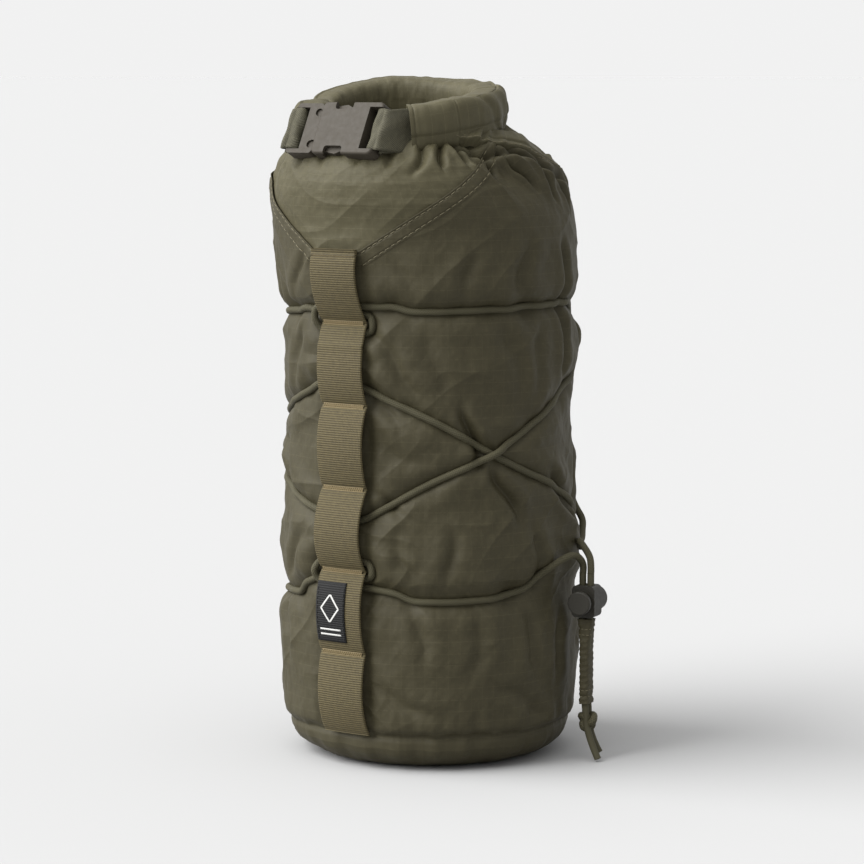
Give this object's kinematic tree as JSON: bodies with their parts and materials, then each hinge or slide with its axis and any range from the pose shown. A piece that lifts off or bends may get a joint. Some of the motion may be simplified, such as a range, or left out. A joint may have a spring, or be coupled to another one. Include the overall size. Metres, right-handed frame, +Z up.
{
  "type": "stuff sack",
  "caption": "Roll-top cylindrical stuff sack with lash webbing loops, laced shock cord, spring cord lock and a side-release buckle closing the rolled collar.",
  "frame": {"origin": "Centre of the flat patch that the sack stands on.", "axes": "+Z up along the sack, -Y towards the webbing chain that carries the label and the closed buckle, +X to the right seen from that side."},
  "size_m": [0.1632, 0.1536, 0.3161],
  "materials": {
    "cloth": "plain woven coated nylon, olive brown",
    "cloth_collar": "lighter plain woven nylon, soft sheen",
    "cloth_base": "plain woven coated nylon, olive brown",
    "webbing": "ribbed flat webbing, coyote olive",
    "tab_webbing": "twill flat webbing, light olive",
    "thread": "tan bonded thread",
    "label": "black woven label",
    "cord": "braided elastic cord, olive",
    "sleeve": "folded stitched nylon, olive",
    "lock_plastic": "matte moulded plastic",
    "buckle_plastic": "matte moulded plastic, brown grey",
    "spring_steel": "bright wire"
  },
  "bodies": {
    "sack": {"main_panel": "cloth", "collar_panel": "cloth_collar", "bottom_panel": "cloth_base", "rolled_collar": "cloth_collar", "chain_front": "webbing", "chain_back": "webbing", "bar_tacks_front": "thread", "bar_tacks_back": "thread", "label": "label", "shock_cord": "cord", "cord_tail_inner": "cord", "cord_tail_outer": "cord", "knot": "cord", "pull_sleeve": "sleeve", "buckle_socket": "buckle_plastic", "socket_tab": "tab_webbing", "plug_strap": "tab_webbing"},
    "plug": {"buckle_plug": "buckle_plastic"},
    "arm_upper": {"arm_upper": "buckle_plastic"},
    "arm_lower": {"arm_lower": "buckle_plastic"},
    "lock": {"lock_body": "lock_plastic", "lock_spring": "spring_steel"},
    "plunger": {"lock_plunger": "lock_plastic"}
  },
  "joints": [
    {"name": "buckle_release", "type": "slide", "parent": "sack", "child": "plug", "axis": [-1, 0, 0], "range_m": [0, 0.025], "deforming": ["arm_upper", "arm_lower", "plug_strap"]},
    {"name": "arm_upper_squeeze", "type": "hinge", "parent": "plug", "child": "arm_upper", "pos_m": [-0.0156, -0.06287, 0.30163], "axis": [0, 0.891, -0.454], "range_deg": [0, 10.5], "stiffness_Nm_per_rad": 0.1},
    {"name": "arm_lower_squeeze", "type": "hinge", "parent": "plug", "child": "arm_lower", "pos_m": [-0.0156, -0.07013, 0.28737], "axis": [0, -0.891, 0.454], "range_deg": [0, 10.5], "stiffness_Nm_per_rad": 0.1},
    {"name": "lock_slide", "type": "slide", "parent": "sack", "child": "lock", "axis": [0, 0, 1], "range_m": [0, 0.005]},
    {"name": "lock_press", "type": "slide", "parent": "lock", "child": "plunger", "axis": [-0.1736, 0.9848, 0], "range_m": [0, 0.003], "stiffness_N_per_m": 1500, "deforming": ["lock_spring"]}
  ]
}
